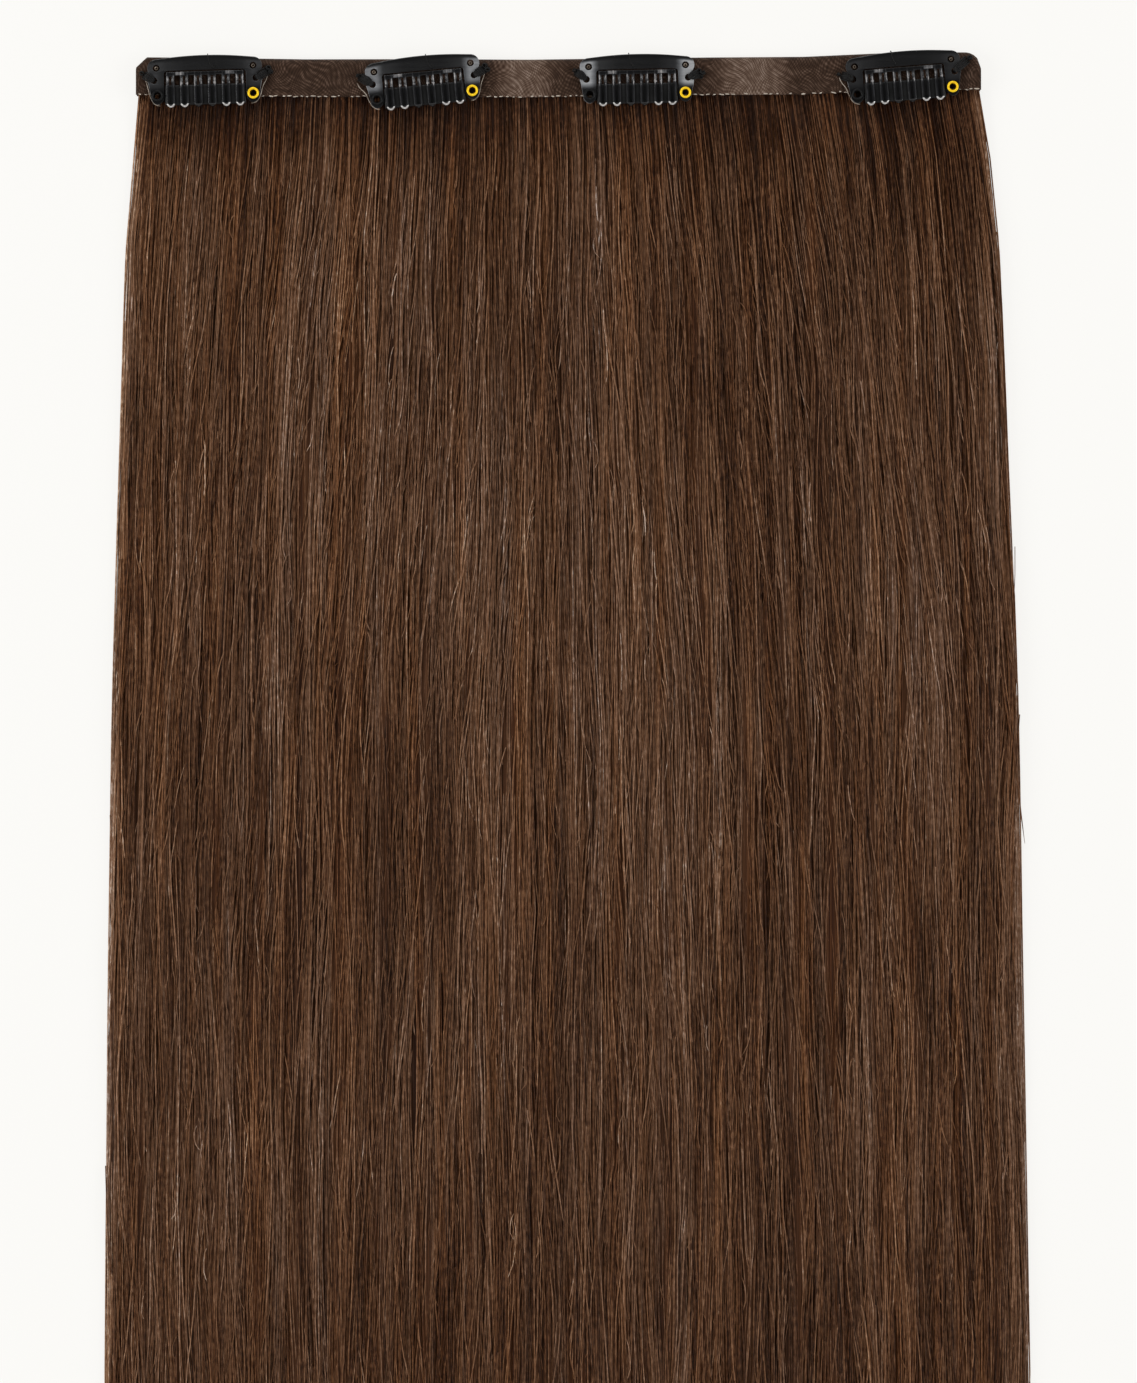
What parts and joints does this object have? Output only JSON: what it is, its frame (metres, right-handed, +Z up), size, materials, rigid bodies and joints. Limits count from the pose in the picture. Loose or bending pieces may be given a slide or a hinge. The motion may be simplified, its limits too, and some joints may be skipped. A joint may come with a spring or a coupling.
{
  "type": "clip in hair extension weft",
  "caption": "Wide weft of long straight brown hair on a folded lace band with a row of black snap clips, lying flat with the clips facing up.",
  "frame": {"origin": "middle of the lace band's flat underside, halfway along the band and halfway up it", "axes": "+X along the band to the wearer-facing view's right, +Y from the tips of the hair up past the band, +Z up out of the clips' teeth"},
  "size_m": [0.259, 0.4562, 0.0067],
  "materials": {
    "lace": "woven, matt",
    "hair": "straight brown fibres with a soft gloss",
    "black_metal": "satin",
    "black_rubber": "satin",
    "gold_metal": "polished",
    "thread": "black sewing thread",
    "stitching": "light machine stitches"
  },
  "bodies": {
    "weft": {"lace_band": "lace", "hair": "hair", "clip_plate_1": "black_metal", "grip_bar_1": "black_metal", "grip_rubber_1": "black_rubber", "black_eyelet_1": "black_metal", "gold_eyelet_1": "gold_metal", "clip_plate_2": "black_metal", "grip_bar_2": "black_metal", "grip_rubber_2": "black_rubber", "black_eyelet_2": "black_metal", "gold_eyelet_2": "gold_metal", "clip_plate_3": "black_metal", "grip_bar_3": "black_metal", "grip_rubber_3": "black_rubber", "black_eyelet_3": "black_metal", "gold_eyelet_3": "gold_metal", "clip_plate_4": "black_metal", "grip_bar_4": "black_metal", "grip_rubber_4": "black_rubber", "black_eyelet_4": "black_metal", "gold_eyelet_4": "gold_metal"},
    "comb_1": {"clip_comb_1": "black_metal"},
    "comb_2": {"clip_comb_2": "black_metal"},
    "comb_3": {"clip_comb_3": "black_metal"},
    "comb_4": {"clip_comb_4": "black_metal"}
  },
  "joints": [
    {"name": "comb_1_swing", "type": "hinge", "parent": "weft", "child": "comb_1", "pos_m": [-0.09865, 0.00035, 0.0058], "axis": [-0.9995, -0.0314, 0], "range_deg": [0, 40]},
    {"name": "comb_2_swing", "type": "hinge", "parent": "weft", "child": "comb_2", "pos_m": [-0.03788, 0.00016, 0.0058], "axis": [-0.9956, -0.0941, 0], "range_deg": [0, 40]},
    {"name": "comb_3_swing", "type": "hinge", "parent": "weft", "child": "comb_3", "pos_m": [0.02195, 0.00061, 0.0058], "axis": [-0.9998, -0.0209, 0], "range_deg": [0, 40]},
    {"name": "comb_4_swing", "type": "hinge", "parent": "weft", "child": "comb_4", "pos_m": [0.09617, 0.00143, 0.0058], "axis": [-0.9968, -0.0802, 0], "range_deg": [0, 40]}
  ]
}
